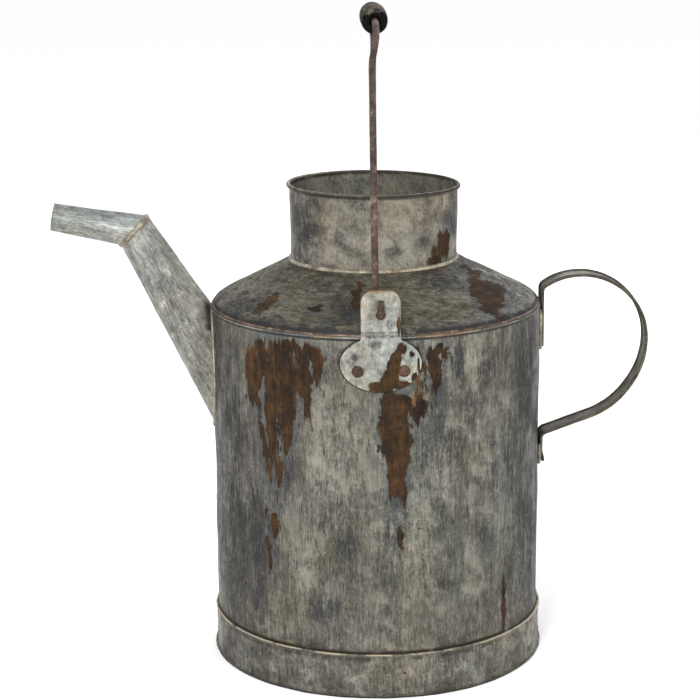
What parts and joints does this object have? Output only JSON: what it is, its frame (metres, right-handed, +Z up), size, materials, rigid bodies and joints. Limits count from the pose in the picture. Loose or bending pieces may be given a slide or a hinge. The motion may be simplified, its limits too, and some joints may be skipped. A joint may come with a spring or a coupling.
{
  "type": "watering can",
  "caption": "Sheet-metal watering can: round body, sloping shoulder, wide neck, mitred spout, strap handle and a swinging wire bail with a turned grip.",
  "frame": {"origin": "centre of the foot on the floor", "axes": "+Z up along the can body; the spout points along -X and the strap handle along +X; the bail ears are at -Y (front) and +Y (rear)"},
  "size_m": [0.417, 0.2444, 0.4569],
  "materials": {
    "zinc_sheet": "weathered galvanised sheet, matt, grey with rust patches",
    "spout_zinc": "weathered galvanised sheet, blue-grey",
    "ear_zinc": "pale galvanised plate",
    "strap_zinc": "dark weathered galvanised strap",
    "solder": "lumpy tinned solder, dull beige grey",
    "rusted_wire": "brown rusted steel wire",
    "rivet_iron": "rusted iron rivet",
    "blackened_wood": "turned wood with worn black varnish"
  },
  "bodies": {
    "can": {"body_wall": "zinc_sheet", "base_pan": "zinc_sheet", "base_solder": "solder", "foot_band": "zinc_sheet", "foot_edge_wire": "rusted_wire", "foot_band_rivets": "rivet_iron", "shoulder_cone": "zinc_sheet", "shoulder_solder": "solder", "neck_collar": "zinc_sheet", "neck_rim_wire": "rusted_wire", "neck_solder": "solder", "spout_lower_tube": "spout_zinc", "spout_nozzle": "spout_zinc", "spout_elbow_solder": "solder", "spout_base_solder": "solder", "handle_strap": "strap_zinc", "handle_edge_wires": "rusted_wire", "handle_upper_solder": "solder", "handle_lower_solder": "solder", "front_ear": "ear_zinc", "rear_ear": "ear_zinc", "ear_rivets": "rivet_iron"},
    "bail": {"bail_wire": "rusted_wire"},
    "grip": {"bail_grip": "blackened_wood"}
  },
  "joints": [
    {"name": "bail_swing", "type": "hinge", "parent": "can", "child": "bail", "pos_m": [0, 0, 0.2655], "axis": [0, 1, 0], "range_deg": [-71, 89]},
    {"name": "grip_spin", "type": "hinge", "parent": "bail", "child": "grip", "pos_m": [0, 0, 0.4475], "axis": [0, 1, 0], "continuous": true}
  ]
}
